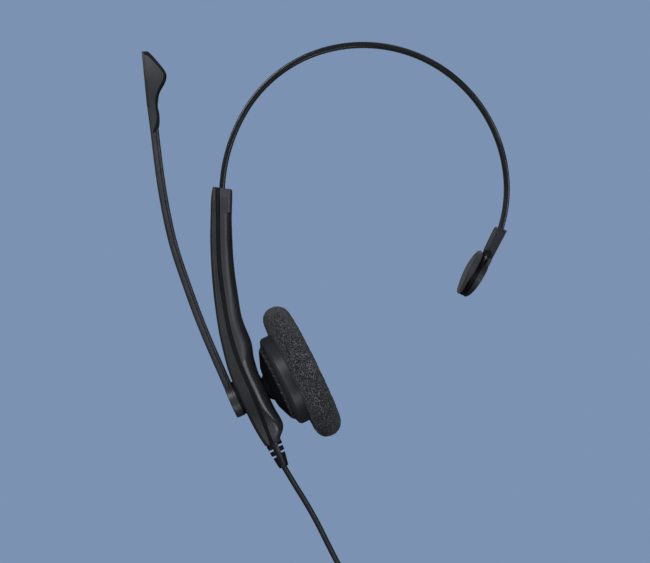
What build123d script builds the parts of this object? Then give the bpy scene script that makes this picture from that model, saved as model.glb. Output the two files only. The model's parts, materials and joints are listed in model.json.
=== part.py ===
from build123d import *
import math
import os

os.makedirs("parts", exist_ok=True)

# ---------------------------------------------------------------------------
# Call-centre headset, one ear, with a T-bar, a swivelling boom microphone and
# a quick-disconnect lead.  Millimetres.  +X points from the ear-cup side to the
# T-bar side, +Y away from the viewer (wearer's back), +Z up.  The origin is the
# centre of the headband's arc, where the wearer's head sits.
# ---------------------------------------------------------------------------

# --- headband ---------------------------------------------------------------
BAND_START = (-54.77, 1.82)          # where the curved band leaves the arm
BAND_HEADING = 4.43                  # degrees from vertical at that point
BAND_RADII = (63.69, 52.19, 55.10, 56.20, 51.52, 40.0)   # the last bend is inside the T-bar's stem
BAND_SWEEPS = (26.80, 44.09, 45.07, 54.69, 21.50, 12.0)
BAND_T = 2.05                        # thickness of the moulded band
BAND_W = 6.4                         # width of the moulded band
CORE_T = 0.7                         # spring-steel strip inside it
CORE_W = 4.4
MOUTH_R = 90.0                       # band's easy bend just inside the arm
TAIL_LEN = 33.0                      # straight tail inside the arm at rest
SLIDE_TRAVEL = 22.0                  # headband adjustment
STOP_W, STOP_H = 9.0, 3.2            # stop block on the tail
SLOT_GAP = 0.32                      # running gap each side of the tail

# --- arm (ear-cup side) -------------------------------------------------------
# stations down the arm: (outer edge point, inner edge point, half width in Y, inner corner radius)
ARM_ST = [
    ((-58.36, 0.19), (-51.24, -0.81), 4.7, 2.4),
    ((-58.86, -2.52), (-51.08, -2.52), 5.3, 2.5),
    ((-59.21, -9.48), (-51.24, -9.48), 5.5, 2.7),
    ((-59.37, -17.22), (-51.12, -17.22), 5.7, 2.9),
    ((-59.25, -24.96), (-50.77, -24.96), 5.9, 3.1),
    ((-58.75, -33.48), (-50.00, -33.48), 6.2, 3.4),
    ((-57.97, -41.99), (-48.76, -41.99), 6.6, 3.8),
    ((-56.89, -50.12), (-47.33, -50.12), 7.1, 4.2),
    ((-55.65, -57.47), (-44.93, -56.50), 7.7, 4.6),
    ((-54.95, -60.57), (-43.65, -59.87), 7.95, 4.8),
    ((-53.64, -65.98), (-42.72, -65.60), 8.3, 5.0),
    ((-51.35, -73.34), (-40.21, -72.76), 8.7, 5.0),
    ((-48.45, -79.92), (-37.38, -79.34), 8.8, 4.8),
    ((-45.51, -86.49), (-34.13, -86.30), 8.3, 4.4),
    ((-43.50, -90.75), (-31.81, -90.36), 7.2, 3.4),
    ((-41.45, -94.62), (-31.46, -94.04), 5.8, 2.6),
    ((-38.12, -100.04), (-31.35, -97.79), 3.3, 1.5),
]
# parting lines seen from the side: cover / chassis and chassis / inner shells
PART_A = [(-57.31, 2.90), (-57.24, -4.84), (-57.04, -14.51), (-56.89, -24.19), (-56.31, -32.70), (-55.57, -38.89), (-54.64, -45.09),
          (-53.56, -51.28), (-52.17, -57.47), (-48.76, -67.92), (-45.59, -75.27), (-42.49, -82.62), (-38.08, -94.04), (-35.37, -101.20)]
PART_B = [(-55.61, 2.90), (-55.53, -4.84), (-55.46, -14.51), (-55.30, -24.19), (-54.68, -32.70), (-53.91, -38.89), (-52.98, -45.09),
          (-51.90, -51.28), (-50.43, -57.47), (-47.02, -67.92), (-43.89, -75.27), (-40.83, -82.62), (-36.61, -94.04), (-34.06, -101.20)]
# side panel / head-side shell: from the step in the inner edge down to a rounded tongue
SHELL_SPLIT = [(-53.06, -10.49), (-53.21, -13.35), (-53.10, -18.00), (-52.79, -23.03), (-52.32, -28.83), (-51.70, -34.64), (-50.85, -40.44), (-49.81, -46.25),
               (-48.53, -51.66), (-47.18, -56.12), (-46.05, -59.21), (-45.43, -61.73), (-45.36, -63.66), (-45.78, -65.60), (-46.59, -67.26), (-47.68, -68.77), (-49.69, -70.82)]
STEP_Z = -9.95
TAIL_SPLIT_Z = -93.77                                               # lower shell / tail cap
WALL = 1.25
GROOVE = 0.45                        # recess of the dark chassis strip
EDGE_OUT = 1.3                       # corner radius on the cover side
TOP_EDGE_IN = 1.3                    # head-side corner radius above the step

# --- ear-cup axis and ball joint --------------------------------------------
CUP_TILT = 26.0                      # cup axis above horizontal, degrees
BALL_C = (-33.32, -75.70)              # centre of the ball joint
BALL_R = 3.0
LINER_RI, LINER_RO = 3.15, 5.10
SOCKET_RI = 5.26
DOME_R = 6.66                        # dome of the back cap
DOME_GAP = 0.36                      # arm's spherical seat is this much larger
CUP_YAW = 4.0                        # cup's resting swivel
RING_R = 18.2                        # speaker housing
FOAM_R = 27.25                       # ear cushion
FOAM_BACK, FOAM_FRONT = 5.2, 15.95  # along the cup axis from the ball centre
VENTS, VENT_R, VENT_D = 26, 14.95, 1.1

# --- boom --------------------------------------------------------------------
BOOM_TILT = 23.6                     # boom's foot leans this far from vertical
HUB_C = (-47.74, -81.06)               # pivot axis meets the arm's outer face here
HUB_R = 6.95
HUB_GAP = 0.32
HUB_BASE = 0.9
BOOM_T = 3.1                         # boom thickness
BOOM_SPLIT = 2.2                     # outer half's share of it
SHAFT_R, BUSH_RI, BUSH_RO = 2.2, 2.27, 3.1

# --- T-bar -------------------------------------------------------------------
TBAR_TILT = 29.6
TBAR_PIVOT = (46.44, -27.52)
TBAR_HALF = 20.5                     # half length of pad and plate
STEM_HALF = 4.0
PIN_R = 1.0

# --- lead --------------------------------------------------------------------
CORD_D = 2.2


# ---------------------------------------------------------------------------
# helpers
# ---------------------------------------------------------------------------
def unit(a, b):
    d = math.hypot(b[0] - a[0], b[1] - a[1])
    return (b[0] - a[0]) / d, (b[1] - a[1]) / d


def lerp(a, b, t):
    return (a[0] + (b[0] - a[0]) * t, a[1] + (b[1] - a[1]) * t)


def section(L, R, w, rl, rr):
    """Rounded rectangle standing on the line L-R of the XZ plane, +-w wide in Y."""
    ex, ez = unit(L, R)
    h = math.hypot(R[0] - L[0], R[1] - L[1]) / 2
    rl, rr = min(rl, h * 0.95, w * 0.95), min(rr, h * 0.95, w * 0.95)
    if rl + rr > 1.96 * h:
        k = 1.96 * h / (rl + rr)
        rl, rr = rl * k, rr * k
    ox, oz = (L[0] + R[0]) / 2, (L[1] + R[1]) / 2
    q = math.sqrt(0.5)

    def P(a, b):
        return (ox + ex * a, b, oz + ez * a)

    e = [
        Line(P(-h, -w + rl), P(-h, w - rl)),
        ThreePointArc(P(-h, w - rl), P(-h + rl * (1 - q), w - rl * (1 - q)), P(-h + rl, w)),
        Line(P(-h + rl, w), P(h - rr, w)),
        ThreePointArc(P(h - rr, w), P(h - rr * (1 - q), w - rr * (1 - q)), P(h, w - rr)),
        Line(P(h, w - rr), P(h, -w + rr)),
        ThreePointArc(P(h, -w + rr), P(h - rr * (1 - q), -w + rr * (1 - q)), P(h - rr, -w)),
        Line(P(h - rr, -w), P(-h + rl, -w)),
        ThreePointArc(P(-h + rl, -w), P(-h + rl * (1 - q), -w + rl * (1 - q)), P(-h, -w + rl)),
    ]
    return Wire(e)


def loft_through(stations):
    return Solid.make_loft([section(*s) for s in stations])


def slab(pts, y0, y1, smooth=False):
    """Closed XZ outline extruded from y0 to y1."""
    w = Wire(Polyline(*[(p[0], y0, p[1]) for p in pts], close=True).edges())
    return extrude(Face(w), amount=y1 - y0, dir=(0, 1, 0))


def curve_slab(a, b, y0, y1):
    """Region between two smooth XZ curves (same direction), extruded in Y."""
    ea = Spline(*[(p[0], y0, p[1]) for p in a])
    eb = Spline(*[(p[0], y0, p[1]) for p in b])
    w = Wire([ea, Line(ea @ 1, eb @ 1), eb, Line(eb @ 0, ea @ 0)])
    return extrude(Face(w), amount=y1 - y0, dir=(0, 1, 0))


def box(x0, x1, y0, y1, z0, z1):
    return Pos((x0 + x1) / 2, (y0 + y1) / 2, (z0 + z1) / 2) * Box(x1 - x0, y1 - y0, z1 - z0)


def turned(profile, loc):
    """Closed (r, h) profile turned about the local Z axis, then placed."""
    w = Wire(Polyline(*[(p[0], 0, p[1]) for p in profile], close=True).edges())
    return loc * revolve(Face(w), Axis.Z, 360)


def tube_z(r0, r1, h0, h1, loc):
    s = Pos(0, 0, (h0 + h1) / 2) * Cylinder(r1, h1 - h0)
    if r0 > 0:
        s = s - Pos(0, 0, (h0 + h1) / 2) * Cylinder(r0, (h1 - h0) + 1)
    return loc * s


def one(shape):
    """The single solid of a boolean result (largest piece)."""
    s = sorted(shape.solids(), key=lambda q: -q.volume)
    return s[0]


NODES = {}


def put(name, *shapes):
    sol = []
    for s in shapes:
        sol += list(s.solids())
    NODES[name] = sol


def rounded(shape, edges, r):
    """Fillet the edges, stepping down if the corner is too tight."""
    for k in (1.0, 0.7, 0.45, 0.25):
        try:
            out = fillet(edges, r * k)
            if out.is_valid and len(out.solids()) == 1:
                return out
        except Exception:
            pass
    return shape


# local frames ----------------------------------------------------------------
ct, st = math.cos(math.radians(CUP_TILT)), math.sin(math.radians(CUP_TILT))
CUP = Plane(origin=(BALL_C[0], 0, BALL_C[1]), x_dir=(st, 0, -ct), z_dir=(ct, 0, st)).location
SPK = CUP * Rot(-CUP_YAW, 0, 0)

cb, sb = math.cos(math.radians(BOOM_TILT)), math.sin(math.radians(BOOM_TILT))
# local Z leaves the arm outwards, local X climbs the boom
HUB = Plane(origin=(HUB_C[0], 0, HUB_C[1]), x_dir=(-sb, 0, cb), z_dir=(-cb, 0, -sb)).location

ctb, stb = math.cos(math.radians(TBAR_TILT)), math.sin(math.radians(TBAR_TILT))
# local X runs down the T-bar, local Z points at the head
TB = Plane(origin=(TBAR_PIVOT[0], 0, TBAR_PIVOT[1]), x_dir=(-stb, 0, -ctb), z_dir=(-ctb, 0, stb)).location

# ---------------------------------------------------------------------------
# headband
# ---------------------------------------------------------------------------
def arc_chain(start, heading, radii, sweeps):
    """Tangent arcs turning clockwise; heading measured from +Z towards +X."""
    x, z = start
    h = math.radians(heading)
    edges = []
    for R, A in zip(radii, sweeps):
        a = math.radians(A)

        def at(t):
            g = h + a * t
            return (x + R * (math.cos(h) - math.cos(g)), 0, z + R * (math.sin(g) - math.sin(h)))

        edges.append(ThreePointArc(at(0), at(0.5), at(1)))
        nx = at(1)
        x, z, h = nx[0], nx[2], h + a
    return edges, (x, z), math.degrees(h)


# easy bend from vertical to the band's heading, inside the arm's mouth
a0 = math.radians(BAND_HEADING)
bx = BAND_START[0] - MOUTH_R * (1 - math.cos(a0))
bz = BAND_START[1] - MOUTH_R * math.sin(a0)
tail_top = (bx, bz)
tail_bot = (bx, bz - TAIL_LEN)
chain, band_end, end_heading = arc_chain(tail_top, 0.0, (MOUTH_R,) + BAND_RADII, (BAND_HEADING,) + BAND_SWEEPS)
band_path = Wire([Line((tail_bot[0], 0, tail_bot[1]), (tail_top[0], 0, tail_top[1]))] + chain)
print("band end", band_end, "heading", end_heading, "tail x", bx, "tail top z", bz, "tail bottom z", tail_bot[1])


def strip(t, w, r, path, base):
    pl = Plane(origin=(base[0], 0, base[1]), x_dir=(1, 0, 0), z_dir=(0, 0, 1))
    prof = pl * RectangleRounded(t, w, r)
    return sweep(prof, path=path)


solid_band = strip(BAND_T, BAND_W, 0.55, band_path, tail_bot)
core = strip(CORE_T, CORE_W, 0.2, band_path, tail_bot)
core_hole = strip(CORE_T + 0.06, CORE_W + 0.06, 0.2, band_path, tail_bot)
core = one(core)
sleeve = one(solid_band - core_hole)
put("headband_sleeve", sleeve)
put("headband_spring", core)
stop = box(bx - 1.4, bx + 1.4, -STOP_W / 2, STOP_W / 2, tail_bot[1] - STOP_H, tail_bot[1])
stop = one(chamfer(stop.edges(), 0.3))
put("band_end_stop", stop)

# ---------------------------------------------------------------------------
# arm
# ---------------------------------------------------------------------------
ARM = loft_through([(L, R, w, EDGE_OUT, e) for (L, R, w, e) in ARM_ST])
TOP = loft_through([(L, R, w, EDGE_OUT, TOP_EDGE_IN) for (L, R, w, e) in ARM_ST])
ARM = one((ARM & box(-80, 0, -20, 20, -140, STEP_Z)) + (TOP & box(-80, 0, -20, 20, STEP_Z, 20)))
# bevelled lip round the top
for sy in (-1, 1):
    lip = Face(Wire(Polyline((-80, sy * 5.42, -3.75), (-80, sy * 4.0, 0.9), (-80, sy * 4.0, 8), (-80, sy * 12, 8), (-80, sy * 12, -3.75), close=True).edges()))
    ARM = ARM - extrude(lip, amount=70, dir=(1, 0, 0))
ARM = one(ARM)


def inset(st_, d):
    L, R, w = st_[:3]
    ex, ez = unit(L, R)
    return ((L[0] + ex * d, L[1] + ez * d), (R[0] - ex * d, R[1] - ez * d), w - d)


skin = []
for s in ARM_ST:
    L, R, w = inset(s, GROOVE)
    skin.append((L, R, w, 0.9, 2.0))
ARM_SKIN = loft_through(skin)

cav = []
for s in ARM_ST[6:16]:
    L, R, w = inset(s, WALL)
    cav.append((L, R, w, 0.6, max(1.3, s[3] - 1.5)))
CAVITY = Solid.make_loft([section(*c) for c in cav], True)

far = 60
left_side = curve_slab(PART_A, [(p[0] - far, p[1]) for p in PART_A], -20, 20)
right_side = curve_slab(PART_B, [(p[0] + far, p[1]) for p in PART_B], -20, 20)
middle = curve_slab(PART_A, PART_B, -20, 20)

# band channel: narrow at the top, wide below where the stop block runs
cx = bx
hw = BAND_T / 2 + SLOT_GAP
z_low = tail_bot[1] - STOP_H - 0.6
z_shoulder = tail_bot[1] + SLIDE_TRAVEL + 0.35
CHANNEL = box(cx - hw, cx + hw, -BAND_W / 2 - 0.35, BAND_W / 2 + 0.35, z_shoulder - 1, 5)
CHANNEL = CHANNEL + box(cx - 1.8, cx + 1.8, -STOP_W / 2 - 0.35, STOP_W / 2 + 0.35, z_low, z_shoulder)
# mouth opens gently to follow the curving band
mouth = slab([(cx - hw, -6.0), (cx + hw, -6.0), (cx + hw + 0.75, 4.0), (cx - hw - 0.1, 4.0)],
             -BAND_W / 2 - 0.35, BAND_W / 2 + 0.35)
CHANNEL = CHANNEL + mouth
# pocket for the detent leaf, on the head side of the channel
dz0 = -14.0
POCKET = box(cx + hw - 0.2, cx + hw + 1.15, -2.6, 2.6, dz0 - 6.5, dz0 + 6.5)

# spherical seat for the ear-cup dome, with a boss behind it
seat_boss = tube_z(0, 8.2, -8.6, -5.6, CUP) & CAVITY
SEAT = CUP * Sphere(DOME_R + DOME_GAP)
STUD_HOLE = tube_z(0, 1.75, -12, 0, CUP)
BUSH_HOLE = tube_z(0, BUSH_RO, -3.2, 2, HUB)
# flat landing for the boom's hub
LANDING = tube_z(0, HUB_R + 0.5, 0, 5, HUB)
BOARD_ROOM = None

cover = (ARM & left_side) - CAVITY - CHANNEL - BUSH_HOLE - LANDING
cover = cover - box(cx - 9, -59.36, -9, 9, -14.01, -13.78) - box(cx - 9, -59.39, -9, 9, -22.99, -22.76)
put("arm_outer_cover", one(cover))

chassis = (ARM_SKIN & middle) - CAVITY - CHANNEL - POCKET
put("arm_chassis", one(chassis))

inner = (ARM & right_side) - CHANNEL - POCKET - CAVITY
inner = inner + (seat_boss & right_side)
inner = inner - SEAT - STUD_HOLE
# room for the cup's back at the corners of its travel
swing = turned([(0, -3.0), (6.6, -4.15), (8.5, -3.8), (14.5, -1.45), (18.6, 0.6), (18.6, 4.0), (0, 4.0)], Location())
for tilt in (-8, 8):
    for turn in (-4, 12):
        inner = inner - Pos(BALL_C[0], 0, BALL_C[1]) * Rot(0, tilt, 0) * Pos(-BALL_C[0], 0, -BALL_C[1]) * CUP * Rot(turn - CUP_YAW, 0, 0) * swing
panel_edge = [Spline(*[(p[0], -20, p[1]) for p in SHELL_SPLIT])]
top_l, end = SHELL_SPLIT[0], SHELL_SPLIT[-1]
panel_face = Face(Wire(panel_edge + Polyline((end[0], -20, end[1]), (-75, -20, end[1]), (-75, -20, 12), (-30, -20, 12), (-30, -20, STEP_Z),
                                             (top_l[0], -20, STEP_Z), (top_l[0], -20, top_l[1])).edges()))
upper_cut = extrude(panel_face, amount=40, dir=(0, 1, 0))
tail_cut = box(-60, 0, -20, 20, -140, TAIL_SPLIT_Z)
upper = one(inner & upper_cut)
lower = one((inner - upper_cut) - tail_cut)
put("arm_inner_shell", upper)
put("arm_lower_shell", lower)

# tail cap, bored for the lead's grommet
cs, ss = math.cos(math.radians(BOOM_TILT)), math.sin(math.radians(BOOM_TILT))
TAIL_C = lerp((-38.12, -100.04), (-31.77, -97.79), 0.5)
# local Z runs out of the tail along the lead
TAIL = Plane(origin=(TAIL_C[0], 0, TAIL_C[1]), x_dir=(cs, 0, ss), z_dir=(ss, 0, -cs)).location
GLAND_HOLE = tube_z(0, 1.9, -7.0, 2, TAIL) + tube_z(0, 2.65, -9.0, -5.35, TAIL) + tube_z(0, 12, 0.0, 6, TAIL)
tailcap = one((inner & tail_cut) - GLAND_HOLE)
put("arm_tail_cap", tailcap)
NODES["arm_outer_cover"] = [one(NODES["arm_outer_cover"][0] - GLAND_HOLE)]
NODES["arm_chassis"] = [one(NODES["arm_chassis"][0] - GLAND_HOLE)]

# detent leaf spring pressing on the tail
leaf_o = [(cx + hw + 1.05, dz0 - 6.2), (cx + hw + 1.05, dz0 - 4.2), (cx + hw + 0.35, dz0 - 1.2), (cx + hw + 0.1, dz0),
          (cx + hw + 0.35, dz0 + 1.2), (cx + hw + 1.05, dz0 + 4.2), (cx + hw + 1.05, dz0 + 6.2)]
leaf_i = [(p[0] - 0.22, p[1]) for p in leaf_o]
leaf = curve_slab(leaf_o, leaf_i, -2.2, 2.2)
put("detent_spring", one(leaf))

# bush for the boom, pressed in the cover
bush = tube_z(BUSH_RI, BUSH_RO, -1.9, -0.02, HUB)
put("boom_bush", one(bush))

# ball stud and its screw
stud = tube_z(0, 3.3, -9.9, -8.62, CUP) + tube_z(0, 1.7, -9.9, -1.0, CUP) + CUP * Sphere(BALL_R)
stud = stud - tube_z(0, 0.8, -12, -5.0, CUP)
put("ball_stud", one(stud))
screw = tube_z(0, 0.78, -9.9, -5.2, CUP) + tube_z(0, 1.5, -10.9, -9.9, CUP)
put("stud_screw", one(screw - CUP * Pos(0, 0, -10.9) * Box(2.0, 0.45, 0.8)))

# small junction board in the hollow of the arm, and its leads
bd = unit((-54.95, -45.86), (-52.05, -58.24))
BOARD = Plane(origin=(lerp((-50.54, -52.05), (-50.54, -52.05), 0)[0], 0, -52.05), x_dir=(bd[0], 0, bd[1]), z_dir=(bd[1], 0, -bd[0])).location
board = BOARD * Box(13.0, 8.0, 1.0)
put("junction_board", board)
comp = [BOARD * Pos(-3.5, 1.5, 1.0) * Box(2.6, 2.2, 1.0), BOARD * Pos(1.0, -1.2, 0.95) * Box(2.0, 1.3, 0.9), BOARD * Pos(4.0, 1.6, 0.9) * Box(1.7, 1.1, 0.8)]
put("board_components", *comp)

# strain relief: a slotted, tapering grommet whose neck is held in the tail
L0, L1 = 0.0, 10.0
sr = turned([(0, -6.6), (2.6, -6.6), (2.6, -5.4), (1.85, -5.4), (1.85, 0.05), (3.1, 0.05), (3.15, 0.9), (3.0, 1.55), (2.85, 3.6),
             (2.55, 5.6), (2.05, 9.0), (1.75, 10.0), (0, 10.0)], TAIL)
for i, (za, zb, sx) in enumerate([(1.15, 2.05, 1), (2.05, 2.95, -1), (3.75, 4.65, 1), (4.65, 5.55, -1)]):
    sr = sr - TAIL * Pos(sx * (1.05 + 2.0), 0, (za + zb) / 2) * Box(4.0, 8.0, zb - za)
sr = sr - tube_z(0, CORD_D / 2, 0.0, 12, TAIL) - tube_z(0, CORD_D / 2, -8, 0.01, TAIL)
put("strain_relief", one(sr))

# ---------------------------------------------------------------------------
# ear cup
# ---------------------------------------------------------------------------
liner = CUP * (Sphere(LINER_RO) - Sphere(LINER_RI) - Pos(0, 0, 5.1) * Cylinder(8, 6.0) - Pos(0, 0, -5.0) * Cylinder(2.55, 6.0))
put("ball_liner", one(liner))


def arc_pts(r, a0_, a1_, n):
    """(r, h) points on a circle about the ball centre, angles from -axis."""
    out = []
    for i in range(n + 1):
        a = math.radians(a0_ + (a1_ - a0_) * i / n)
        out.append((r * math.sin(a), -r * math.cos(a)))
    return out


# back cap: dome, flat and cone, with the socket that grips the liner
hole_a = math.degrees(math.asin(3.15 / DOME_R))
dome_end = math.degrees(math.acos(3.87 / DOME_R))
q = math.sqrt(0.5)
cap_edges = []
dome = arc_pts(DOME_R, hole_a, dome_end, 2)
sock = arc_pts(SOCKET_RI, math.degrees(math.asin(3.15 / SOCKET_RI)), 118.0, 2)


def P3(p):
    return (p[0], 0, p[1])


out_e = [ThreePointArc(P3(dome[0]), P3(dome[1]), P3(dome[2]))]
line_pts = [dome[2], (6.5, -3.87), (8.4, -3.6), (14.16, -1.36), (14.3, -1.18), (14.3, 0.4), (13.3, 0.4), (13.3, -0.3),
            (8.2, -2.35), (6.75, -2.35), (6.75, sock[2][1]), sock[2]]
for a_, b_ in zip(line_pts[:-1], line_pts[1:]):
    out_e.append(Line(P3(a_), P3(b_)))
out_e.append(ThreePointArc(P3(sock[2]), P3(sock[1]), P3(sock[0])))
out_e.append(Line(P3(sock[0]), P3(dome[0])))
cap = SPK * revolve(Face(Wire(out_e)), Axis.Z, 360)
put("speaker_back_cap", one(cap))

# speaker housing: vented shoulder and straight rim
hs = turned([(14.34, -1.22), (14.9, -0.82), (15.45, -0.05), (17.5, 0.75), (RING_R, 1.7), (RING_R, 6.28), (16.6, 6.28), (16.6, 2.4),
             (15.9, 1.9), (14.6, 1.45), (14.34, 1.3)], SPK)
vents = [SPK * Rot(0, 0, 360 / VENTS * (i + 0.5)) * Pos(VENT_R, 0, 0) * Cylinder(VENT_D / 2, 8) for i in range(VENTS)]
hs = hs - vents
put("speaker_housing", one(hs))

# baffle: flat rim under the cushion, raised centre with sound holes
bf = turned([(0, 7.9), (13.6, 7.9), (13.9, 7.6), (13.9, 6.3), (21.0, 6.3), (21.0, 7.3), (15.1, 7.3), (15.1, 8.5), (14.7, 8.9), (0, 8.9)], SPK)
holes = [SPK * Pos(0, 0, 8.4) * Cylinder(0.8, 4)]
for ring_r, n in ((3.6, 6), (7.0, 12), (10.4, 18)):
    for i in range(n):
        a = 2 * math.pi * i / n
        holes.append(SPK * Pos(ring_r * math.cos(a), ring_r * math.sin(a), 8.4) * Cylinder(0.8, 4))
bf = bf - holes
put("speaker_baffle", one(bf))

put("damping_felt", one(turned([(9.2, 7.55), (13.3, 7.55), (13.3, 7.87), (9.2, 7.87)], SPK)))
put("driver_frame", one(turned([(7.6, 4.6), (8.4, 4.6), (8.4, 5.6), (12.6, 5.6), (13.3, 6.2), (13.3, 7.52), (12.3, 7.52), (12.3, 6.5), (7.6, 6.5)], SPK)))
put("driver_yoke", one(turned([(0, 3.4), (7.55, 3.4), (7.55, 6.3), (6.9, 6.3), (6.9, 4.1), (0, 4.1)], SPK)))
put("driver_magnet", one(turned([(0, 4.12), (5.6, 4.12), (5.6, 5.7), (0, 5.7)], SPK)))
put("driver_pole_plate", one(turned([(0, 5.72), (5.8, 5.72), (5.8, 6.4), (0, 6.4)], SPK)))
put("voice_coil", one(turned([(6.15, 5.0), (6.5, 5.0), (6.5, 6.95), (6.15, 6.95)], SPK)))
put("driver_diaphragm", one(turned([(0, 7.28), (4.0, 7.16), (6.6, 6.96), (9.0, 7.2), (12.25, 7.0), (12.25, 7.15), (9.0, 7.36), (6.6, 7.12), (4.0, 7.34), (0, 7.46)], SPK)))

# ear cushion: a disc of foam that wraps round the baffle's rim
def corner(cx_, cz_, r, a0_, a1_, n=6):
    return [(cx_ + r * math.cos(math.radians(a0_ + (a1_ - a0_) * i / n)), cz_ + r * math.sin(math.radians(a0_ + (a1_ - a0_) * i / n))) for i in range(n + 1)]


foam_prof = [(18.4, FOAM_BACK)] + corner(FOAM_R - 4.6, FOAM_BACK + 4.6, 4.6, -90, 0) + corner(FOAM_R - 5.2, FOAM_FRONT - 5.2, 5.2, 0, 90) + \
    [(0, FOAM_FRONT), (0, 9.2), (15.3, 9.2), (15.45, 7.45), (21.25, 7.45), (21.25, 6.15), (18.4, 6.15)]
put("ear_cushion", one(turned(foam_prof, SPK)))

# ---------------------------------------------------------------------------
# boom
# ---------------------------------------------------------------------------
# outer edge of the boom, foot to tip, and the half width in Y
BOOM_EDGE = [
    ((-49.50, -87.73), 4.0), ((-52.17, -81.77), 3.9), ((-56.04, -72.95), 3.6), ((-61.46, -60.57), 3.35), ((-66.45, -48.18), 3.2), ((-70.90, -35.80), 3.05),
    ((-74.96, -23.41), 2.95), ((-77.86, -11.03), 2.85), ((-80.03, 1.35), 2.75), ((-81.66, 13.74), 2.7), ((-82.47, 20.70), 2.7), ((-83.84, 31.31), 2.7)]


def boom_stations(pts, a, b):
    out = []
    n = len(pts)
    for i, (p, w) in enumerate(pts):
        p0 = pts[max(i - 1, 0)][0]
        p1 = pts[min(i + 1, n - 1)][0]
        tx, tz = unit(p0, p1)               # climbing
        nx, nz = tz, -tx                    # towards the arm
        out.append(((p[0] + nx * a, p[1] + nz * a), (p[0] + nx * b, p[1] + nz * b), w))
    return out


outer_st = boom_stations(BOOM_EDGE, 0.0, BOOM_SPLIT)
inner_st = boom_stations(BOOM_EDGE[:-1] + [((-82.84, 23.99), 2.7)], BOOM_SPLIT + 0.03, BOOM_T)
boom_out = loft_through([(L, R, w, 0.9, 0.55) for (L, R, w) in outer_st])
boom_in = loft_through([(L, R, w, 0.12, 0.6) for (L, R, w) in inner_st])
# round paddle where the boom meets its hub
HB = HUB_GAP + HUB_BASE
PSPLIT = HB + BOOM_T - BOOM_SPLIT         # the same split where the boom widens to its foot
paddle_o = tube_z(0, HUB_R, PSPLIT, HB + 3.1, HUB)
paddle_o = rounded(paddle_o, paddle_o.faces().sort_by_distance((HUB * Pos(0, 0, 50)).position)[0].edges(), 0.25)
paddle_i = tube_z(0, HUB_R, HB - 0.3, PSPLIT - 0.03, HUB)
wire_groove = boom_stations(BOOM_EDGE[1:], BOOM_SPLIT - 0.85, BOOM_SPLIT + 0.02)
WG = loft_through([(L, R, 0.62, 0.1, 0.1) for (L, R, w) in wire_groove])
boom_out = one((boom_out + paddle_o) - WG - tube_z(0, HUB_R + 1, -3, PSPLIT, HUB))
put("boom_outer_half", boom_out)
boom_in = (boom_in + paddle_i) - tube_z(0, HUB_R + 1, PSPLIT - 0.03, HB + 5, HUB) - tube_z(0, SHAFT_R, -5, HB + 5, HUB) - tube_z(0, 18, -3, HB, HUB)
boom_in = one(boom_in)
put("boom_hub", one(tube_z(SHAFT_R, HUB_R - 0.15, HUB_GAP, HB, HUB)))
shaft = tube_z(0.9, SHAFT_R, -2.75, HB + 0.6, HUB)
put("boom_pivot_shaft", one(shaft))
put("pivot_clip", one(tube_z(SHAFT_R, 3.7, -2.7, -2.2, HUB) - HUB * Pos(3.0, 0, -2.45) * Box(3.0, 1.6, 1.0)))
put("pivot_screw", one(tube_z(0, 0.88, -2.75, HB + 0.3, HUB) + tube_z(0, 1.7, -3.6, -2.75, HUB) - HUB * Pos(0, 0, -3.6) * Box(2.2, 0.45, 0.7)))
wire_st = boom_stations(BOOM_EDGE[1:-1], BOOM_SPLIT - 0.72, BOOM_SPLIT - 0.12)
put("boom_wire", one(loft_through([(L, R, 0.42, 0.25, 0.25) for (L, R, w) in wire_st])))

# microphone head -------------------------------------------------------------
MIC_W = 4.1
lid_out = [(-85.88, 52.44), (-85.57, 49.34), (-85.18, 45.47), (-84.79, 41.60), (-84.37, 36.96), (-83.84, 31.42)]
lid_in = [(-85.06, 52.44), (-84.68, 49.34), (-84.29, 45.47), (-83.90, 41.60), (-83.40, 36.96), (-82.82, 31.42)]
nose = [(-83.48, 52.44), (-81.50, 50.58), (-79.10, 47.79), (-77.44, 45.70), (-76.63, 43.54), (-76.94, 41.45), (-78.33, 38.66), (-79.45, 36.18),
        (-79.84, 33.48), (-79.95, 31.54), (-79.45, 29.03), (-79.22, 26.12), (-79.49, 23.41), (-80.34, 21.67), (-81.42, 20.82)]
back = lid_in + [(-82.39, 28.83), (-82.01, 25.74), (-81.66, 22.64), (-81.42, 20.82)]


def spline_face(a, b, y0):
    ea = Spline(*[(p[0], y0, p[1]) for p in a])
    eb = Spline(*[(p[0], y0, p[1]) for p in b])
    es = [ea]
    if (ea @ 1 - eb @ 1).length > 1e-6:
        es.append(Line(ea @ 1, eb @ 1))
    es.append(eb)
    if (eb @ 0 - ea @ 0).length > 1e-6:
        es.append(Line(eb @ 0, ea @ 0))
    return Face(Wire(es))


def mic_waist():
    """Front outline of the head: broad at the capsule, drawn in to the boom."""
    zs = [(53.21, 2.9), (50.12, 3.6), (46.25, 4.05), (41.60, 4.1), (36.96, 3.7), (31.54, 3.1), (25.35, 2.85), (19.93, 2.75)]
    a = [(-80 * 0 - 100, w, z) for z, w in zs]
    b = [(-100, -w, z) for z, w in zs]
    ea, eb = Spline(*a), Spline(*b)
    return extrude(Face(Wire([ea, Line(ea @ 1, eb @ 1), eb, Line(eb @ 0, ea @ 0)])), amount=60, dir=(1, 0, 0))


WAIST = mic_waist()
# the boom's inner half stops short of the head's rounded end
tip = extrude(spline_face(back, nose, -6), amount=12, dir=(0, 1, 0))
put("boom_inner_half", one(boom_in - tip))
head = (tip & WAIST) - boom_out
lid = extrude(spline_face(lid_out, lid_in, -6), amount=12, dir=(0, 1, 0)) & WAIST
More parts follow.
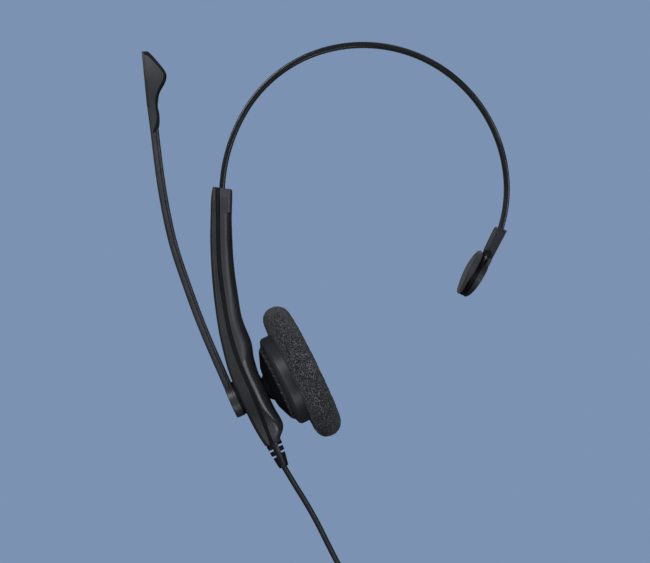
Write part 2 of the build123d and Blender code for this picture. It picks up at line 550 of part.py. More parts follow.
# split the dark rim that carries the sound port from the head
rim_in = [(-85.33, 51.12), (-83.75, 50.81), (-82.55, 49.85), (-80.15, 47.33), (-78.41, 45.32), (-77.36, 43.38), (-77.71, 41.53), (-79.03, 38.78), (-80.07, 36.38),
          (-80.65, 33.86), (-80.57, 31.35), (-80.23, 29.03), (-80.11, 26.70), (-80.65, 23.99), (-81.58, 21.48)]
rs, re_ = rim_in[0], rim_in[-1]
rimzone = extrude(Face(Wire([Spline(*[(p[0], -6, p[1]) for p in rim_in])] + list(Polyline(
    (re_[0], -6, re_[1]), (re_[0], -6, 18.38), (-63.47, -6, 18.38), (-63.47, -6, 60.95), (rs[0], -6, 60.95), (rs[0], -6, rs[1])).edges()))), amount=12, dir=(0, 1, 0))
rim = one(head & rimzone)
head = one(head - rimzone)
# capsule pocket, its axis square to the lower flank of the nose
CAPS = Plane(origin=(-79.95, 0, 43.15), x_dir=(0, 1, 0), z_dir=(0.94, 0, -0.34)).location
pocket = tube_z(0, 2.95, -2.3, 3.0, CAPS)
head = one(head - pocket)
ports = [CAPS * Pos(y, 0, 1.5) * Box(0.7, 2.6, 6.0) for y in (-1.6, 0, 1.6)]
rim = one(rim - ports)
put("mic_inner_housing", head)
put("mic_port_rim", rim)
put("mic_outer_cover", one(lid))
put("mic_boot", one(tube_z(2.3, 2.9, -2.2, 0.75, CAPS) - rimzone))
put("mic_capsule", one(tube_z(0, 2.25, -2.2, 0.2, CAPS)))
put("mic_screen", one(tube_z(0, 2.25, 0.25, 0.6, CAPS)))

# ---------------------------------------------------------------------------
# T-bar
# ---------------------------------------------------------------------------
def tb_slab(pts, y0, y1, smooth=()):
    """Outline in (t down the bar, m towards the head) extruded in Y."""
    w = Wire(Polyline(*[(p[0], y0, p[1]) for p in pts], close=True).edges())
    return extrude(Face(w), amount=y1 - y0, dir=(0, 1, 0))


def oval(t0, at, ay):
    return extrude(Pos(t0, 0, -10) * Ellipse(at, ay), amount=20)


# room for the stem: the bar's middle is open behind the pin
NOTCH = Pos(-4.4, 0, 0) * Box(11.2, 9.5, 12) + Rot(90, 0, 0) * Cylinder(2.45, 9.5)
pin_hole = Rot(90, 0, 0) * Cylinder(PIN_R, 40)

# back plate
plate = tb_slab([(1.3, -2.68), (4.0, -2.68), (9.0, -2.5), (12.5, -2.2), (14.8, -1.8), (16.1, -1.25), (16.5, -0.7), (16.3, -0.38), (1.3, -0.38)],
                -TBAR_HALF, TBAR_HALF) & oval(9.1, 7.45, TBAR_HALF)
necks = tb_slab([(-0.9, -2.4), (-0.6, -2.66), (4.0, -2.68), (4.0, -1.35), (-0.9, -1.35)], 4.75, 8.2) + \
    tb_slab([(-0.9, -2.4), (-0.6, -2.66), (4.0, -2.68), (4.0, -1.35), (-0.9, -1.35)], -8.2, -4.75)
plate = plate + necks - NOTCH

# darker carrier between plate and pad, with an ear each side for the pin
carrier = tb_slab([(1.3, -0.35), (15.9, -0.35), (16.4, 0.2), (16.5, 0.8), (16.3, 1.3), (13.0, 1.36), (1.3, 1.38)], -TBAR_HALF, TBAR_HALF) & oval(9.0, 7.5, TBAR_HALF - 0.3)
ear = SlotOverall(7.4, 2.6)
for y0 in (4.75, -8.2):
    carrier = carrier + Rot(90, 0, 0) * Pos(0, 0, y0) * extrude(ear, amount=3.45)
carrier = carrier - NOTCH - pin_hole
for sy in (-1, 1):
    carrier = carrier - Rot(90, 0, 0) * Pos(0, 0, sy * 8.2 - 0.35) * extrude(SlotOverall(6.6, 1.9), amount=0.7)
plate = plate - carrier
for y0 in (4.75, -8.2):
    plate = plate - Rot(90, 0, 0) * Pos(0, 0, y0 - 0.02) * extrude(SlotOverall(7.4, 2.6), amount=3.49)
put("t_bar_plate", one(TB * plate))
put("t_bar_carrier", one(TB * carrier))
pin = Rot(90, 0, 0) * Cylinder(PIN_R - 0.01, 15.9)
for sy in (-1, 1):
    knob = Pos(0.5, sy * 7.86, 0) * scale(Sphere(1.0), by=(2.4, 0.62, 0.85))
    knob = knob - Pos(0, sy * 5.855, 0) * Box(8, 4.0, 4)
    pin = pin + knob
put("t_bar_pin", one(TB * pin))

pad = tb_slab([(-2.2, 2.9), (-1.6, 3.35), (0.5, 3.75), (3.0, 3.92), (6.0, 3.88), (9.0, 3.62), (13.0, 3.12), (15.2, 2.86), (16.3, 2.65), (16.8, 2.2), (16.8, 1.65), (16.4, 1.4),
               (3.4, 1.42), (-0.6, 1.5), (-1.8, 2.1)], -TBAR_HALF, TBAR_HALF)
pad = pad & oval(7.3, 9.65, TBAR_HALF)
pad = pad - NOTCH
put("t_bar_pad", one(TB * pad))

# stem: two halves clamped on the band's end, and a barrel for the pin
stem_back = [(-13.5, -2.28), (-5.0, -2.55), (-1.3, -2.62), (-0.5, -2.3), (0, -1.75), (0, 0.9), (-3.9, 0.9), (-4.9, 0.66), (-12.9, 1.15), (-12.95, 1.15), (-13.5, 0.9)]
stem_b = tb_slab(stem_back, -STEM_HALF, STEM_HALF) + Rot(90, 0, 0) * Cylinder(1.75, 2 * STEM_HALF)
stem_b = stem_b - Rot(90, 0, 0) * Cylinder(PIN_R + 0.07, 40)
stem_front = [(-12.9, 1.2), (-4.9, 0.72), (-3.9, 0.95), (-2.5, 0.95), (-2.4, 1.45), (-3.1, 1.72), (-12.5, 2.34), (-12.9, 2.15)]
stem_f = tb_slab(stem_front, -STEM_HALF + 0.1, STEM_HALF - 0.1)
stem_b = TB * stem_b
stem_f = TB * stem_f
# socket for the band's end
stem_b = one(stem_b - solid_band)
stem_f = one(stem_f - solid_band)
put("t_bar_stem", stem_b)
put("t_bar_stem_cover", stem_f)

# ---------------------------------------------------------------------------
# lead
# ---------------------------------------------------------------------------
EXIT = TAIL * Pos(0, 0, 10.0)
EXIT = EXIT.position
print("cord exit", EXIT)
HX, HTOP = 2.6, -158.0                    # hank: centre line and top
HR_IN, HR_OUT = 6.8, 9.7                  # fold radii of its inner and outer turns
HANK_RUN = 35.0                           # straight part of a turn
HANK_W = 2 * HR_OUT + CORD_D              # its outer width and thickness
HANK_T = 9.7
HBOT = HTOP - HANK_RUN - HANK_W
ROUTE = [
    (EXIT.X, 0.0, EXIT.Z),
    (-27.24, 0.1, -114.32),
    (-22.60, 0.3, -121.71),
    (-18.27, 0.2, -129.30),
    (-14.24, -0.6, -137.42),
    (-10.37, -1.8, -144.93),
    (-4.6, -3.3, -155.2),
    (HX - HR_IN, -3.75, -164.5),
]
TAIL_ROUTE = [
    (HX - 9.65, -3.7, -205.2),
    (HX - 9.2, -3.3, -211.3),
    (HX - 7.7, -2.2, -217.5),
    (HX - 6.4, -1.2, -223.6),
    (HX - 5.7, -0.6, -229.3),
]


def lead(points, label):
    pts = [Vector(*p) for p in points]
    radii = []
    for i in range(1, len(pts) - 1):
        a, b = pts[i] - pts[i - 1], pts[i + 1] - pts[i]
        turn = math.radians(a.get_angle(b))
        radii.append(0.45 * min(a.length, b.length) / math.tan(turn / 2))
    print(label, "runs", [round((pts[i + 1] - pts[i]).length, 1) for i in range(len(pts) - 1)])
    print(label, "radii", [round(r, 1) for r in radii])
    path = FilletPolyline(*pts, radius=radii)
    prof = Plane(origin=pts[0], z_dir=(pts[1] - pts[0]).normalized()) * Circle(CORD_D / 2)
    tube = sweep(prof, path=path)
    plen = sum(e.length for e in path.edges())
    print(label, "tube length", round(plen, 2), "volume", round(tube.volume, 2), "expected",
          round(math.pi * (CORD_D / 2) ** 2 * plen, 2))
    return tube


hz = (HTOP + HBOT) / 2
hank_o = SlotOverall(HTOP - HBOT, HANK_W, rotation=90)
hank = Plane(origin=(HX, HANK_T / 2, hz), x_dir=(1, 0, 0), z_dir=(0, -1, 0)) * hank_o
hank = one(extrude(hank, amount=HANK_T, dir=(0, -1, 0)))
hank = rounded(hank, hank.edges().filter_by(lambda e: abs(e.center().Y) > HANK_T / 2 - 0.01), 2.6)
put("cord_hank", hank)
tie = box(HX - HANK_W / 2 - 1.0, HX + HANK_W / 2 + 1.0, -HANK_T / 2 - 1.0, HANK_T / 2 + 1.0, hz - 4.0, hz + 4.0)
tie = rounded(tie, tie.edges().filter_by(Axis.Z), 3.0)
put("cord_tie", one(tie - hank))
put("cord", one(lead(ROUTE, "cord") - hank))
put("cord_end", one(lead(TAIL_ROUTE, "cord end") - hank))

# quick-disconnect plug, hanging from the lead
p0, p1 = TAIL_ROUTE[-2], TAIL_ROUTE[-1]
PZ = (Vector(*p1) - Vector(*p0)).normalized()
PLUG = Plane(origin=p1, x_dir=(1, 0, 0.0) if abs(PZ.X) < 1e-6 else Vector(-PZ.Z, 0, PZ.X).normalized() * -1, z_dir=PZ).location
boot = PLUG * loft([Pos(0, 0, 0.0) * Circle(1.9), Pos(0, 0, 6.0) * Circle(2.9)])
put("plug_boot", one(boot))
shell = extrude(Pos(0, 0, 10) * RectangleRounded(12.0, 7.6, 2.2), amount=12)
shell = shell + loft([Pos(0, 0, 6.0) * RectangleRounded(8.4, 6.0, 2.2), Pos(0, 0, 10.0) * RectangleRounded(12.0, 7.6, 2.2)], ruled=True)
for k in range(4):
    for sx in (-1, 1):
        shell = shell - Pos(sx * 6.1, 0, 12.6 + 2.0 * k) * Box(0.9, 9, 0.8)
shell = shell - Pos(0, 0, 19.0) * Box(8.6, 4.8, 6.1)
shell = PLUG * shell
put("plug_shell", one(shell))
spigot = PLUG * (Pos(0, 0, 22.5) * Box(8.56, 4.76, 13.0) - Pos(0, 0, 27.0) * Box(7.2, 3.4, 6.0))
put("plug_spigot", one(spigot))
put("plug_contacts", *[PLUG * Pos(x, 0, 26.0) * Box(0.8, 1.6, 4.0 + 0.0) for x in (-2.55, -0.85, 0.85, 2.55)])
print("plug low", (PLUG * Pos(0, 0, 29)).position)

# ---------------------------------------------------------------------------
for name, sol in NODES.items():
    shape = sol[0] if len(sol) == 1 else Compound(children=list(sol))
    export_step(shape, "parts/%s.step" % name)
print(len(NODES), "nodes")
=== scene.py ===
import json
import math

import bmesh
import bpy
from mathutils import Matrix, Vector, noise


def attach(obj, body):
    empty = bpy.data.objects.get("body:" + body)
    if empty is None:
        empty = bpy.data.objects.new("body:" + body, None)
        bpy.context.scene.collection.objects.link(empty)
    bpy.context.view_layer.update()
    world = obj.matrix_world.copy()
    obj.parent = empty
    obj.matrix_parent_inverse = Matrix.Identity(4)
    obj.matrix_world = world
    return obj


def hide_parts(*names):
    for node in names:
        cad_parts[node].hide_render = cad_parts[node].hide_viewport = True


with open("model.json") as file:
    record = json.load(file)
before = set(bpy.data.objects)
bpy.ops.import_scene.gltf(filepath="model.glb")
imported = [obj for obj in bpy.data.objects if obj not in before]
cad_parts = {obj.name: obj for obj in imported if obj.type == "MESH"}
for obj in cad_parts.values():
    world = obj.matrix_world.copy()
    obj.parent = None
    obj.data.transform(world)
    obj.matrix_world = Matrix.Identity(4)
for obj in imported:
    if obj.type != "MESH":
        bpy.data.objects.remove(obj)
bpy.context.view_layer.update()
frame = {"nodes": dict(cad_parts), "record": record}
nodes = frame["nodes"]
scene = bpy.context.scene
MM = 0.001


def link(o):
    scene.collection.objects.link(o)
    return o


# ---------------------------------------------------------------------------
# camera: square on to the headset's side, eye level with its middle
# ---------------------------------------------------------------------------
LENS_PX = 3000.0
PX = 0.387 * MM
cam_data = bpy.data.cameras.new("camera")
cam = link(bpy.data.objects.new("camera", cam_data))
cam_data.sensor_width = 36.0
cam_data.lens = LENS_PX * 36.0 / 650.0
cam.location = ((325 - 364) * PX, -LENS_PX * PX, (187.5 - 281.5) * PX)
cam.rotation_euler = (math.pi / 2, 0, 0)
cam_data.clip_start, cam_data.clip_end = 0.01, 50
scene.camera = cam

# ---------------------------------------------------------------------------
# the lead: one spline from the strain relief through the tied hank to the plug
# ---------------------------------------------------------------------------
CORD_D = 2.2 * MM
route = [
    (-30.94, 0.0, -108.08),
    (-27.24, 0.1, -114.32),
    (-22.60, 0.3, -121.71),
    (-18.27, 0.2, -129.30),
    (-14.24, -0.6, -137.42),
    (-10.37, -1.8, -144.93),
    (-4.6, -3.3, -155.2),
    (-4.2, -3.75, -164.5),
]
HX, HZ = 2.6, -186.3
R_IN, R_OUT, RUN = 6.8, 9.7, 35.0


def turn_r(t):
    return R_IN if t <= 3 else (R_OUT if t >= 4 else R_IN + (R_OUT - R_IN) * (t - 3))


def turn_y(t):
    if t <= 3:
        return -3.75 + 2.3 * t
    if t <= 4:
        return 3.15 + 0.6 * math.sin(math.pi * (t - 3))
    return 3.15 - 2.3 * min(t - 4, 3.0)


def uneven(i, k):
    """a little hand-wound unevenness, the same each time"""
    return 0.10 * math.sin(i * 2.1 + k * 1.3)


def hank_turn(k):
    """Left run down, bottom fold, right run up, top fold, of turn k."""
    out = []
    zs = (13.5, 6.5, 0.0, -6.5, -13.5)
    n = 22
    i = 0

    def add(side, dx, z):
        nonlocal i
        t = k + i / n
        r = turn_r(t)
        out.append((HX + side * r * dx, turn_y(t) + uneven(i, k), HZ + z(r)))
        i += 1

    for z in zs:
        pinch = 1.0 - 0.03 * math.cos(math.pi * z / 36)
        add(-1, pinch, lambda r, z=z: z)
    for j in range(6):
        a = math.radians(15 + 30 * j)
        add(-1, math.cos(a) / math.cos(math.radians(15)), lambda r, a=a: -RUN / 2 - r * math.sin(a) / math.cos(math.radians(15)))
    for z in reversed(zs):
        pinch = 1.0 - 0.03 * math.cos(math.pi * z / 36)
        add(1, pinch, lambda r, z=z: z)
    for j in range(6):
        a = math.radians(15 + 30 * j)
        add(1, math.cos(a) / math.cos(math.radians(15)), lambda r, a=a: RUN / 2 + r * math.sin(a) / math.cos(math.radians(15)))
    return out


for k in range(7):
    route += hank_turn(k)
route += [(HX - 9.62, -3.75, HZ + z) for z in (13.5, 6.5, 0.0, -6.5, -13.0)]
route += [
    (HX - 9.65, -3.7, -205.2),
    (HX - 9.2, -3.3, -211.3),
    (HX - 7.7, -2.2, -217.5),
    (HX - 6.4, -1.2, -223.6),
    (HX - 5.7, -0.6, -229.3),
]
curve = bpy.data.curves.new("lead", "CURVE")
curve.dimensions = "3D"
spline = curve.splines.new("NURBS")
spline.points.add(len(route) - 1)
for p, q in zip(spline.points, route):
    p.co = (q[0] * MM, q[1] * MM, q[2] * MM, 1.0)
    p.radius = CORD_D / 2
spline.use_endpoint_u = True
spline.order_u = 3
spline.resolution_u = 6
curve.bevel_depth = 1.0
curve.bevel_resolution = 5
curve.use_fill_caps = True
lead = link(bpy.data.objects.new("lead", curve))
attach(lead, "arm")
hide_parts("cord", "cord_hank", "cord_end")


# ---------------------------------------------------------------------------
# materials
# ---------------------------------------------------------------------------
def principled(name):
    m = bpy.data.materials.new(name)
    m.use_nodes = True
    nt = m.node_tree
    b = nt.nodes["Principled BSDF"]
    return m, nt, b


def coords(nt):
    return nt.nodes.new("ShaderNodeTexCoord").outputs["Object"]


def noise_tex(nt, vec, scale, detail=3.0, rough=0.5):
    n = nt.nodes.new("ShaderNodeTexNoise")
    n.inputs["Scale"].default_value = scale
    n.inputs["Detail"].default_value = detail
    n.inputs["Roughness"].default_value = rough
    nt.links.new(vec, n.inputs["Vector"])
    return n.outputs["Fac"]


def ramp(nt, fac, stops):
    r = nt.nodes.new("ShaderNodeValToRGB")
    el = r.color_ramp.elements
    el[0].position, el[0].color = stops[0]
    el[1].position, el[1].color = stops[-1]
    for pos, col in stops[1:-1]:
        e = el.new(pos)
        e.color = col
    nt.links.new(fac, r.inputs["Fac"])
    return r.outputs["Color"]


def span(nt, fac, lo, hi):
    r = nt.nodes.new("ShaderNodeMapRange")
    r.inputs["To Min"].default_value = lo
    r.inputs["To Max"].default_value = hi
    nt.links.new(fac, r.inputs["Value"])
    return r.outputs["Result"]


def bump(nt, b, heights, normal_in=None):
    """heights: list of (height socket, distance in metres, strength)"""
    last = normal_in
    if last is None and SOFT_EDGE:
        edge = nt.nodes.new("ShaderNodeBevel")
        edge.samples = 4
        edge.inputs["Radius"].default_value = SOFT_EDGE
        last = edge.outputs["Normal"]
    for h, dist, strength in heights:
        n = nt.nodes.new("ShaderNodeBump")
        n.inputs["Distance"].default_value = dist
        n.inputs["Strength"].default_value = strength
        nt.links.new(h, n.inputs["Height"])
        if last is not None:
            nt.links.new(last, n.inputs["Normal"])
        last = n.outputs["Normal"]
    nt.links.new(last, b.inputs["Normal"])


SOFT_EDGE = 0.00020                   # moulded edges aren't razor sharp


def grey(v, t=0.0):
    return (v, v * (1 + 0.01 * t), v * (1 + 0.06 * t), 1.0)


def plastic(name, value, rough, grain=0.35, coat=0.0, tint=2.2, spread=0.18, coat_rough=0.15, spec=0.5):
    m, nt, b = principled(name)
    v = coords(nt)
    broad = noise_tex(nt, v, 90.0, 3.0)
    fine = noise_tex(nt, v, 1500.0, 1.0, 0.5)
    col = ramp(nt, broad, [(0.3, grey(value * (1 - spread), tint)), (0.7, grey(value * (1 + spread), tint))])
    nt.links.new(col, b.inputs["Base Color"])
    smudge = noise_tex(nt, v, 160.0, 5.0, 0.65)
    nt.links.new(span(nt, smudge, rough - 0.06, rough + 0.06), b.inputs["Roughness"])
    bump(nt, b, [(fine, 0.00001, grain)])
    b.inputs["Specular IOR Level"].default_value = spec
    b.inputs["Coat Weight"].default_value = coat
    b.inputs["Coat Roughness"].default_value = coat_rough
    return m


def metal(name, color, rough):
    m, nt, b = principled(name)
    v = coords(nt)
    n = noise_tex(nt, v, 900.0, 4.0)
    c0 = tuple(c * 0.85 for c in color) + (1.0,)
    c1 = tuple(min(1.0, c * 1.1) for c in color) + (1.0,)
    nt.links.new(ramp(nt, n, [(0.3, c0), (0.7, c1)]), b.inputs["Base Color"])
    b.inputs["Metallic"].default_value = 1.0
    nt.links.new(span(nt, n, rough - 0.05, rough + 0.08), b.inputs["Roughness"])
    bump(nt, b, [(n, 0.00002, 0.2)])
    return m


SHELL = plastic("shell_plastic", 0.048, 0.38, 0.30)
COVER = plastic("arm_cover_satin", 0.030, 0.38, 0.30)
SHELL_GLOSS = plastic("shell_gloss", 0.030, 0.26, 0.12, coat=0.3)
DARK = plastic("dark_plastic", 0.008, 0.55, 0.35, spec=0.18)
BAND = plastic("band_gloss", 0.018, 0.22, 0.08, coat=0.5)
RUBBER = plastic("cord_rubber", 0.016, 0.34, 0.25)
JACKET = plastic("cord_jacket", 0.022, 0.42, 0.25)
STEEL = metal("steel", (0.55, 0.55, 0.56), 0.3)
PIN = plastic("pin_steel", 0.03, 0.16, 0.05, coat=0.6)
BRASS = metal("contact_brass", (0.83, 0.62, 0.28), 0.25)
COPPER = metal("copper", (0.72, 0.38, 0.2), 0.35)
ACETAL = plastic("acetal", 0.6, 0.4, 0.2, tint=0)
PCB = plastic("circuit_board", 0.05, 0.4, 0.2)
FELT = plastic("felt", 0.03, 0.95, 1.0)
FILM = plastic("film", 0.45, 0.4, 0.1, tint=0)
WIRE = plastic("wire_pvc", 0.08, 0.4, 0.1)
SOFT_EDGE = 0.0


def foam_material():
    """Open-cell foam: near-black cells painted as shade in the pores, greyer struts painted as highlight where they
    catch the light.
    """
    m, nt, b = principled("foam")
    v = coords(nt)
    cells = noise_tex(nt, v, 1900.0, 2.0, 0.6)
    tiny = noise_tex(nt, v, 3800.0, 2.0, 0.7)
    broad = noise_tex(nt, v, 120.0, 3.0)
    # pore pattern: places the painted shade in the cells and the painted highlight on the struts, and also drives the
    # bump
    pore_shade_highlight_bump = nt.nodes.new("ShaderNodeMath")
    pore_shade_highlight_bump.operation = "MULTIPLY_ADD"
    pore_shade_highlight_bump.inputs[1].default_value = 0.35
    nt.links.new(tiny, pore_shade_highlight_bump.inputs[0])
    s2 = nt.nodes.new("ShaderNodeMath")
    s2.operation = "MULTIPLY"
    s2.inputs[1].default_value = 0.65
    nt.links.new(cells, s2.inputs[0])
    nt.links.new(s2.outputs[0], pore_shade_highlight_bump.inputs[2])
    # painted shade and highlight: near-black painted shade in the cells up to grey painted highlight on the struts
    col = ramp(nt, pore_shade_highlight_bump.outputs[0], [(0.40, (0.006, 0.006, 0.007, 1)), (0.50, (0.034, 0.035, 0.039, 1)), (0.565, (0.11, 0.113, 0.122, 1)), (0.64, (0.30, 0.305, 0.32, 1))])
    tone = ramp(nt, broad, [(0.3, (0.8, 0.8, 0.8, 1)), (0.7, (1.1, 1.1, 1.1, 1))])
    mul = nt.nodes.new("ShaderNodeMix")
    mul.data_type = "RGBA"
    mul.blend_type = "MULTIPLY"
    mul.inputs[0].default_value = 1.0
    nt.links.new(col, mul.inputs[6])
    nt.links.new(tone, mul.inputs[7])
    nt.links.new(mul.outputs[2], b.inputs["Base Color"])
    b.inputs["Roughness"].default_value = 0.95
    b.inputs["Specular IOR Level"].default_value = 0.15
    b.inputs["Sheen Weight"].default_value = 0.15
    b.inputs["Sheen Roughness"].default_value = 0.6
    bump(nt, b, [(pore_shade_highlight_bump.outputs[0], 0.0006, 0.9)])
    return m


FOAM = foam_material()


def pad_material():
    """Soft-touch pad: greyer than the plastic, with a fine skin."""
    m, nt, b = principled("pad_rubber")
    v = coords(nt)
    fine = noise_tex(nt, v, 3500.0, 3.0, 0.6)
    broad = noise_tex(nt, v, 140.0, 3.0)
    nt.links.new(ramp(nt, broad, [(0.3, (0.046, 0.046, 0.050, 1)), (0.7, (0.062, 0.062, 0.067, 1))]), b.inputs["Base Color"])
    nt.links.new(span(nt, fine, 0.62, 0.78), b.inputs["Roughness"])
    b.inputs["Specular IOR Level"].default_value = 0.3
    b.inputs["Sheen Weight"].default_value = 0.2
    b.inputs["Sheen Roughness"].default_value = 0.5
    bump(nt, b, [(fine, 0.0001, 0.4)])
    return m


PAD = pad_material()


def strap_material():
    m, nt, b = principled("tie_fabric")
    v = coords(nt)
    fine = noise_tex(nt, v, 2200.0, 3.0, 0.7)
    nt.links.new(ramp(nt, fine, [(0.3, (0.012, 0.012, 0.013, 1)), (0.7, (0.05, 0.05, 0.053, 1))]), b.inputs["Base Color"])
    b.inputs["Roughness"].default_value = 0.9
    b.inputs["Sheen Weight"].default_value = 0.4
    bump(nt, b, [(fine, 0.0003, 0.7)])
    return m


STRAP = strap_material()

MATS = {
    "shell_plastic": SHELL, "shell_gloss": SHELL_GLOSS, "dark_plastic": DARK, "band_gloss": BAND, "cord_rubber": RUBBER,
    "cord_jacket": JACKET, "steel": STEEL, "pin_steel": PIN, "contact_brass": BRASS, "copper": COPPER, "acetal": ACETAL,
    "circuit_board": PCB, "component_black": DARK, "felt": FELT, "film": FILM, "wire_pvc": WIRE, "foam": FOAM,
    "pad_rubber": PAD, "tie_fabric": STRAP, "magnet": STEEL,
}
slot_of = {s["node"]: s["material_slot"] for s in frame["record"]["subparts"]}


def finish_node(n, o):
    mat = MATS.get(slot_of.get(n), SHELL)
    for s in o.material_slots:
        s.material = mat
    if not o.material_slots:
        o.data.materials.append(mat)
    for p in o.data.polygons:
        p.use_smooth = True


for n, o in nodes.items():
    finish_node(n, o)
for n in ("arm_outer_cover", "mic_outer_cover"):
    for sl in nodes[n].material_slots:
        sl.material = COVER

# ---------------------------------------------------------------------------
# ear cushion: a turned disc of open-cell foam with a pitted skin
# ---------------------------------------------------------------------------
CT, ST = math.cos(math.radians(26.0)), math.sin(math.radians(26.0))
YAW = math.radians(4.0)
BALL = Vector(((277.9 - 364) * PX, 0.0, (187.5 - 383.1) * PX))
U0 = Vector((ST, 0.0, -CT))                        # in the disc, along the arm
U2 = Vector((CT * math.cos(YAW), math.sin(YAW), ST * math.cos(YAW)))   # out of the cup, towards the ear
U1 = U2.cross(U0)
FOAM_R, FOAM_B, FOAM_F = 27.35, 5.2, 15.7


def arc(cr, ch, r, a0, a1, n):
    return [(cr + r * math.cos(math.radians(a0 + (a1 - a0) * i / n)), ch + r * math.sin(math.radians(a0 + (a1 - a0) * i / n))) for i in range(n + 1)]


def spaced(pts, step):
    """The same outline with points step apart."""
    out = [pts[0]]
    for p, q in zip(pts, pts[1:]):
        d = math.dist(p, q)
        k = max(1, round(d / step))
        out += [(p[0] + (q[0] - p[0]) * i / k, p[1] + (q[1] - p[1]) * i / k) for i in range(1, k + 1)]
    return out


outline = [(18.0, 6.6), (18.3, FOAM_B)] + arc(FOAM_R - 4.6, FOAM_B + 4.6, 4.6, -90, 0, 20) + arc(FOAM_R - 5.2, FOAM_F - 5.2, 5.2, 0, 90, 22) + [(0.5, FOAM_F)]
outline = spaced(outline, 0.36)
COLS = 470
verts, faces = [], []
for i, (r, h) in enumerate(outline):
    p, q = outline[max(i - 1, 0)], outline[min(i + 1, len(outline) - 1)]
    tr, th = q[0] - p[0], q[1] - p[1]
    tl = math.hypot(tr, th)
    nr, nh = th / tl, -tr / tl                       # outwards
    for j in range(COLS):
        a = 2 * math.pi * j / COLS
        ca, sa = math.cos(a), math.sin(a)
        base = Vector((r * ca, r * sa, h))
        k = 0.0
        if i > 2:
            f = noise.noise(base * 1.15) + 0.6 * noise.noise(base * 2.3 + Vector((7, 3, 5)))
            k = 0.20 * f + 0.12 * noise.noise(base * 0.22)
            pit = noise.noise(base * 1.7 + Vector((31, 11, 4)))
            if pit > 0.28:
                k -= 0.55 * (pit - 0.28)
            k -= 0.10
        d = Vector((nr * ca, nr * sa, nh)) * k
        v = (base + d) * MM
        verts.append(BALL + U0 * v.x + U1 * v.y + U2 * v.z)
rows = len(outline)
for i in range(rows - 1):
    for j in range(COLS):
        a, b = i * COLS + j, i * COLS + (j + 1) % COLS
        faces.append((a, b, b + COLS, a + COLS))
faces.append(tuple((rows - 1) * COLS + j for j in range(COLS)))
me = bpy.data.meshes.new("ear_foam")
me.from_pydata([tuple(v) for v in verts], [], faces)
me.update()
bm = bmesh.new()
bm.from_mesh(me)
bmesh.ops.recalc_face_normals(bm, faces=bm.faces)
bm.to_mesh(me)
bm.free()
for p in me.polygons:
    p.use_smooth = True
me.materials.append(FOAM)
foam = link(bpy.data.objects.new("ear_foam", me))
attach(foam, "speaker")
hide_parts("ear_cushion")

# ---------------------------------------------------------------------------
# T-bar pad: the moulded pad with softened edges
# ---------------------------------------------------------------------------
src = nodes["t_bar_pad"]
me = src.data.copy()
pad = link(bpy.data.objects.new("soft_pad", me))
bm = bmesh.new()
bm.from_mesh(me)
bmesh.ops.remove_doubles(bm, verts=bm.verts, dist=0.00002)
bm.to_mesh(me)
bm.free()
vox = pad.modifiers.new("even", "REMESH")
vox.mode = "VOXEL"
vox.voxel_size = 0.00038
vox.use_smooth_shade = True
soft = pad.modifiers.new("soft", "SMOOTH")
soft.factor = 0.5
soft.iterations = 8
dg = bpy.context.evaluated_depsgraph_get()
flat = bpy.data.meshes.new_from_object(pad.evaluated_get(dg))
pad.modifiers.clear()
moved = []
for v, nrm in zip(flat.vertices, [n.vector.copy() for n in flat.vertex_normals]):
    moved.extend(v.co + nrm * (0.00003 * noise.noise(v.co * 900.0)))
flat.vertices.foreach_set("co", moved)
flat.update()
pad.data = flat
flat.name = "soft_pad"
flat.materials.clear()
flat.materials.append(PAD)
for p in flat.polygons:
    p.use_smooth = True
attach(pad, "t_bar")
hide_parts("t_bar_pad")

# ---------------------------------------------------------------------------
# hook-and-loop tie round the hank: a ribbed strap whose end laps over itself
# ---------------------------------------------------------------------------
def strap_path(t):
    """Centre line of the strap round the hank, t in turns, in mm; it rides up where it laps."""
    a = 2 * math.pi * t
    lift = 1.0 / (1.0 + math.exp(-(t - 1.02) * 90.0))
    hx, hy = 11.45 + 0.95 * lift, 5.4 + 0.95 * lift
    e = 0.36
    c, s_ = math.cos(a), math.sin(a)
    return (HX + hx * math.copysign(abs(c) ** e, c), hy * math.copysign(abs(s_) ** e, s_))


TS, TW = ((420, 36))
T0, T1 = -0.10, 1.16
path_pts = [strap_path(T0 + (T1 - T0) * i / TS) for i in range(TS + 1)]
verts, faces = [], []
for side in (0, 1):
    for i, (x, y) in enumerate(path_pts):
        p, q = path_pts[max(i - 1, 0)], path_pts[min(i + 1, TS)]
        tx, ty = q[0] - p[0], q[1] - p[1]
        tl = math.hypot(tx, ty) or 1.0
        nx, ny = ty / tl, -tx / tl
        for j in range(TW + 1):
            w = -4.0 + 8.0 * j / TW
            edge = min(1.0, (4.0 - abs(w)) / 0.35) ** 0.5 if abs(w) < 4.0 else 0.0
            half = 0.40 * (0.35 + 0.65 * edge)
            rib = 0.05 * math.cos(w * math.pi / 0.28) * edge + 0.05 * noise.noise(Vector((i * 0.9, j * 0.8, side * 9.0)))
            k = (half + rib) * (1 if side == 0 else -1)
            verts.append(((x + nx * k) * MM, (y + ny * k) * MM, (HZ + w) * MM))
nn = (TS + 1) * (TW + 1)


def vid(side, i, j):
    return side * nn + i * (TW + 1) + j


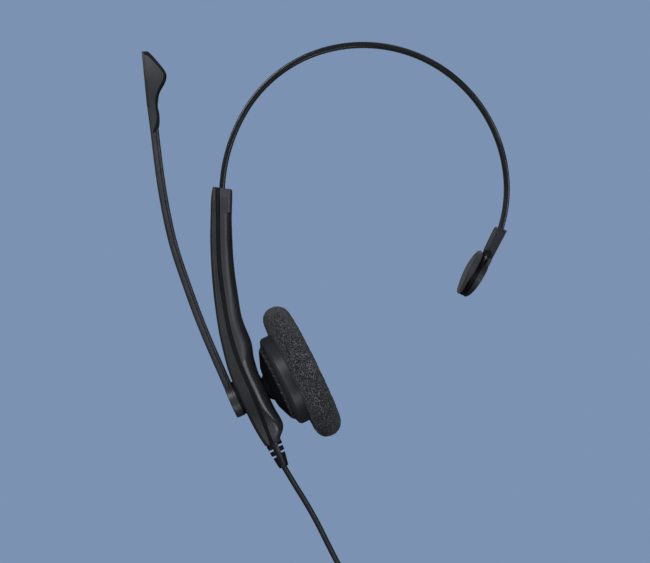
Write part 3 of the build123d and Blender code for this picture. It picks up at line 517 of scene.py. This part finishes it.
for i in range(TS):
    for j in range(TW):
        faces.append((vid(0, i, j), vid(0, i + 1, j), vid(0, i + 1, j + 1), vid(0, i, j + 1)))
        faces.append((vid(1, i, j), vid(1, i, j + 1), vid(1, i + 1, j + 1), vid(1, i + 1, j)))
    for j in (0, TW):
        faces.append((vid(0, i, j), vid(1, i, j), vid(1, i + 1, j), vid(0, i + 1, j)))
for i in (0, TS):
    for j in range(TW):
        faces.append((vid(0, i, j), vid(0, i, j + 1), vid(1, i, j + 1), vid(1, i, j)))
me = bpy.data.meshes.new("hank_strap")
me.from_pydata(verts, [], faces)
me.update()
bm = bmesh.new()
bm.from_mesh(me)
bmesh.ops.recalc_face_normals(bm, faces=bm.faces)
bm.to_mesh(me)
bm.free()
for p in me.polygons:
    p.use_smooth = True
me.materials.append(STRAP)
strap = link(bpy.data.objects.new("hank_strap", me))
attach(strap, "arm")
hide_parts("cord_tie")
lead.data.materials.append(JACKET)

WORLD = 0.03
LIGHTS = [
    ("key", (-0.62, -1.20, 0.62), None, (0.6, 0.6), 8.5),
    ("front", (0.70, -1.35, 0.10), None, (0.7, 0.7), 4.6),
    ("low", (0.30, -0.75, -0.95), None, (0.6, 0.4), 2.2),
    ("top", (0.35, -0.35, 1.05), None, (0.8, 0.4), 1.6),
    ("back_left", (-0.95, 0.65, 0.35), None, (0.4, 0.8), 0.6),
    ("behind", (0.20, 1.60, 0.45), None, (0.9, 0.9), 6.0),
]

# ---------------------------------------------------------------------------
# studio: a plain surround and floor, soft boxes
# ---------------------------------------------------------------------------
def plain(name, color, strength):
    m = bpy.data.materials.new(name)
    m.use_nodes = True
    nt = m.node_tree
    for n in list(nt.nodes):
        nt.nodes.remove(n)
    out = nt.nodes.new("ShaderNodeOutputMaterial")
    e = nt.nodes.new("ShaderNodeEmission")
    e.inputs["Color"].default_value = color
    e.inputs["Strength"].default_value = strength
    nt.links.new(e.outputs[0], out.inputs["Surface"])
    m.cycles.emission_sampling = "NONE"
    return m


def srgb(r, g, b):
    f = lambda c: ((c / 255 + 0.055) / 1.055) ** 2.4 if c > 10 else c / 255 / 12.92
    return (f(r), f(g), f(b), 1.0)


bm = bmesh.new()
bmesh.ops.create_uvsphere(bm, u_segments=64, v_segments=32, radius=6.0)
me = bpy.data.meshes.new("surround")
bm.to_mesh(me)
bm.free()
surround = link(bpy.data.objects.new("surround", me))
me.materials.append(plain("surround", srgb(124, 146, 178), 1.0))
bm = bmesh.new()
bmesh.ops.create_grid(bm, x_segments=2, y_segments=2, size=5.5)
me = bpy.data.meshes.new("floor")
bm.to_mesh(me)
bm.free()
floor = link(bpy.data.objects.new("floor", me))
floor.location = (0, 0, -1.3)
me.materials.append(plain("floor", srgb(128, 150, 181), 1.0))
for o in (surround, floor):
    o.visible_diffuse = o.visible_glossy = o.visible_transmission = o.visible_shadow = o.visible_volume_scatter = False
world = bpy.data.worlds.new("room")
world.use_nodes = True
world.node_tree.nodes["Background"].inputs["Color"].default_value = (0.9, 0.95, 1.0, 1)
world.node_tree.nodes["Background"].inputs["Strength"].default_value = WORLD
scene.world = world
scene.view_settings.view_transform = "Standard"

# ---------------------------------------------------------------------------
def area(name, loc, target, size, power, color=(0.93, 0.96, 1.0)):
    d = bpy.data.lights.new(name, "AREA")
    d.shape = "RECTANGLE"
    d.size, d.size_y = size
    d.energy = power
    d.color = color
    o = link(bpy.data.objects.new(name, d))
    o.location = loc
    o.rotation_euler = (Vector(target) - Vector(loc)).to_track_quat("-Z", "Y").to_euler()
    o.visible_camera = False
    return o


MID = (-0.01, 0, -0.05)
for name, loc, target, size, power in LIGHTS:
    lamp = area(name, loc, target or MID, size, power)
    lamp.visible_glossy = name != "behind"         # fill for the far side, without a bright rim
